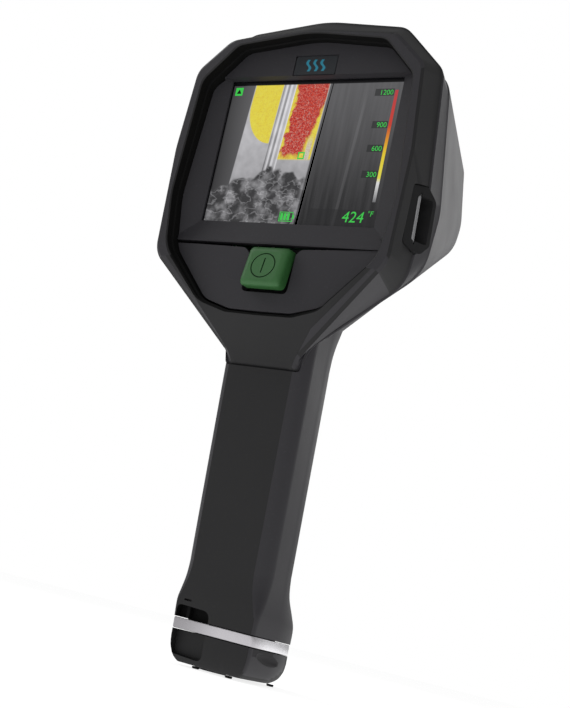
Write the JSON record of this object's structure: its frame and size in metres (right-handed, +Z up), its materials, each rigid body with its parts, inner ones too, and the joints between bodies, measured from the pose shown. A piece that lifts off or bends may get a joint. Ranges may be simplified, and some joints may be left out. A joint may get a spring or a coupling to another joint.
{
  "type": "thermal imaging camera",
  "caption": "Hand-held thermal camera: hooded screen head with side strap sockets on a straight grip, push button, lens nose and a slide-out battery with a folding lock.",
  "frame": {"origin": "on the ground under the middle of the bounding box, with the camera standing on its feet", "axes": "+Z up, square to the base; +Y towards the lens; +X to the right seen from the screen side; the grip leans back 7.8 degrees from +Z"},
  "size_m": [0.1218, 0.1234, 0.2743],
  "materials": {
    "shell": "fine moulded texture, satin",
    "panel": "fine moulded texture, satin",
    "rubber": "matt",
    "steel": "bright, lightly brushed",
    "band": "silver, satin",
    "button_green": "translucent moulded, satin",
    "screen_glass": "polished",
    "badge_teal": "printed label under clear film",
    "circuit_board": "solder resist",
    "contact_gold": "gold plated",
    "germanium": "coated infrared lens",
    "aluminium": "machined",
    "cell_wrap": "shrink sleeve"
  },
  "bodies": {
    "housing": {"rear_housing": "shell", "main_housing": "shell", "strap_band": "band", "strap_socket_left": "rubber", "strap_pin_left": "steel", "strap_socket_right": "rubber", "strap_pin_right": "steel", "housing_gasket": "rubber", "front_bumper": "rubber", "lens_hood": "aluminium", "window_retainer": "aluminium", "lens_window": "germanium", "window_seal": "rubber", "lens_barrel": "aluminium", "lens_front": "germanium", "lens_rear": "germanium", "lens_spacer": "aluminium", "shutter_bracket": "aluminium", "shutter_motor": "steel", "sensor_housing": "aluminium", "detector": "contact_gold", "main_board": "circuit_board", "core_frame": "aluminium", "processor": "shell", "window_gasket": "rubber", "display_window": "screen_glass", "lcd_panel": "screen_glass", "lcd_bracket": "aluminium", "display_board": "circuit_board", "display_frame": "panel", "badge_plate": "badge_teal", "button_panel": "panel", "button_seal": "rubber", "tact_switch": "steel", "button_board": "circuit_board", "grip_contact_left": "contact_gold", "grip_contact_right": "contact_gold", "contact_block": "shell", "nose_screw_1": "steel", "nose_screw_2": "steel", "nose_screw_3": "steel", "nose_screw_4": "steel"},
    "power_button": {"power_button": "button_green"},
    "shutter": {"shutter_flag": "shell"},
    "battery_pack": {"battery_case": "shell", "battery_cell_1": "cell_wrap", "battery_cell_2": "cell_wrap", "battery_lid": "panel", "battery_contact_left": "contact_gold", "battery_contact_right": "contact_gold", "battery_cap": "shell", "cap_seal": "rubber", "foot_1": "rubber", "foot_2": "rubber", "foot_3": "rubber", "foot_4": "rubber"},
    "lock": {"lock_knob": "panel"},
    "bail": {"lock_bail": "steel"}
  },
  "joints": [
    {"name": "button_press", "type": "slide", "parent": "housing", "child": "power_button", "axis": [0, 0.9972, 0.075], "range_m": [0, 0.0012], "stiffness_N_per_m": 900},
    {"name": "shutter_swing", "type": "hinge", "parent": "housing", "child": "shutter", "pos_m": [0.019, -0.01209, 0.24243], "axis": [0, -0.9907, -0.1357], "range_deg": [0, 65]},
    {"name": "battery_slide", "type": "slide", "parent": "housing", "child": "battery_pack", "axis": [0, 0.1357, -0.9907], "range_m": [0, 0.115]},
    {"name": "lock_turn", "type": "hinge", "parent": "battery_pack", "child": "lock", "pos_m": [-0.0026, 0.00068, 0.0032], "axis": [0, 0, -1], "range_deg": [0, 90]},
    {"name": "bail_fold", "type": "hinge", "parent": "lock", "child": "bail", "pos_m": [-0.0026, 0.00068, 0.00145], "axis": [0.5736, -0.8192, 0], "range_deg": [0, 90]}
  ]
}
